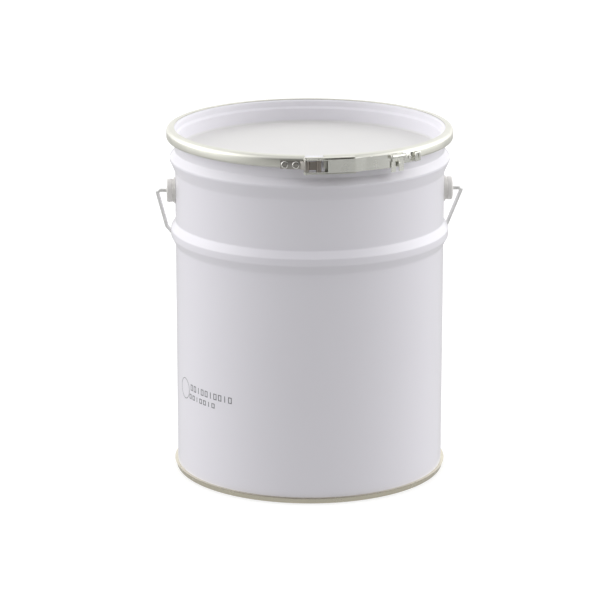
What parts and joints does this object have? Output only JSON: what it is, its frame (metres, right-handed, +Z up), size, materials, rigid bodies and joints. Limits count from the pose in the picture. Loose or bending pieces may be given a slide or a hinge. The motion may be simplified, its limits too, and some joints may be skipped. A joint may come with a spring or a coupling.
{
  "type": "open-head steel pail",
  "caption": "White open-head steel pail with a recessed lid, lever-lock clamping ring, two side ears and a wire bail.",
  "frame": {"origin": "centre of the can on the plane that its bottom seam stands on", "axes": "+Z up along the can's axis, -Y towards the lever closure, X through the bail ears"},
  "size_m": [0.329, 0.3178, 0.374],
  "materials": {
    "white_paint": "semi-gloss",
    "tinplate": "bright",
    "seam_compound": "matte",
    "lid_paint": "satin",
    "gasket": "matte",
    "zinc_plate": "bright",
    "steel_pin": "bright",
    "ear_steel": "satin",
    "wire": "bright",
    "grip_plastic": "matte"
  },
  "bodies": {
    "can": {"body_shell": "white_paint", "bottom_end": "tinplate", "seam_compound": "seam_compound", "ear_left": "ear_steel", "ear_right": "ear_steel"},
    "lid": {"lid": "lid_paint", "lid_gasket": "gasket"},
    "ring": {"ring_band": "zinc_plate", "fulcrum_bracket": "zinc_plate", "fulcrum_rivets": "steel_pin", "bracket_rivets": "steel_pin", "keeper": "zinc_plate", "keeper_rivets": "steel_pin"},
    "ring_free_end": {"strap": "zinc_plate", "strap_rivets": "steel_pin", "hinge_pin": "steel_pin"},
    "lever": {"lever": "zinc_plate", "link_pin": "steel_pin", "catch_pin": "steel_pin"},
    "link": {"link": "zinc_plate"},
    "catch": {"safety_catch": "zinc_plate"},
    "bail": {"bail_wire": "wire"},
    "grip": {"grip": "grip_plastic"}
  },
  "joints": [
    {"name": "lid_lift", "type": "slide", "parent": "can", "child": "lid", "axis": [0, 0, 1], "range_m": [0, 0.06], "deforming": ["ring_band"]},
    {"name": "ring_lift", "type": "slide", "parent": "lid", "child": "ring", "axis": [0, 0, 1], "range_m": [0, 0.05]},
    {"name": "lever_swing", "type": "hinge", "parent": "ring", "child": "lever", "pos_m": [-0.01014, -0.15667, 0.3652], "axis": [0, 0, -1], "range_deg": [0, 150]},
    {"name": "ring_spread", "type": "hinge", "parent": "ring", "child": "ring_free_end", "pos_m": [-0.09058, 0.11956, 0.3652], "axis": [0, 0, -1], "range_deg": [0, 4.83]},
    {"name": "link_swing", "type": "hinge", "parent": "lever", "child": "link", "pos_m": [0.00236, -0.15692, 0.3652], "axis": [0, 0, -1], "range_deg": [-150, 0]},
    {"name": "catch_flip", "type": "hinge", "parent": "lever", "child": "catch", "pos_m": [0.08465, -0.13495, 0.3699], "axis": [-0.8471, -0.5314, 0], "range_deg": [0, 120]},
    {"name": "bail_swing", "type": "hinge", "parent": "can", "child": "bail", "pos_m": [0, 0, 0.3049], "axis": [1, 0, 0], "range_deg": [0, 262.1]},
    {"name": "grip_spin", "type": "hinge", "parent": "bail", "child": "grip", "pos_m": [0, 0.1508, 0.17353], "axis": [1, 0, 0], "continuous": true}
  ],
  "couplings": [
    {"joint": "ring_spread", "follows": "lever_swing", "ratio": 0.032164},
    {"joint": "link_swing", "follows": "lever_swing", "ratio": -1}
  ]
}
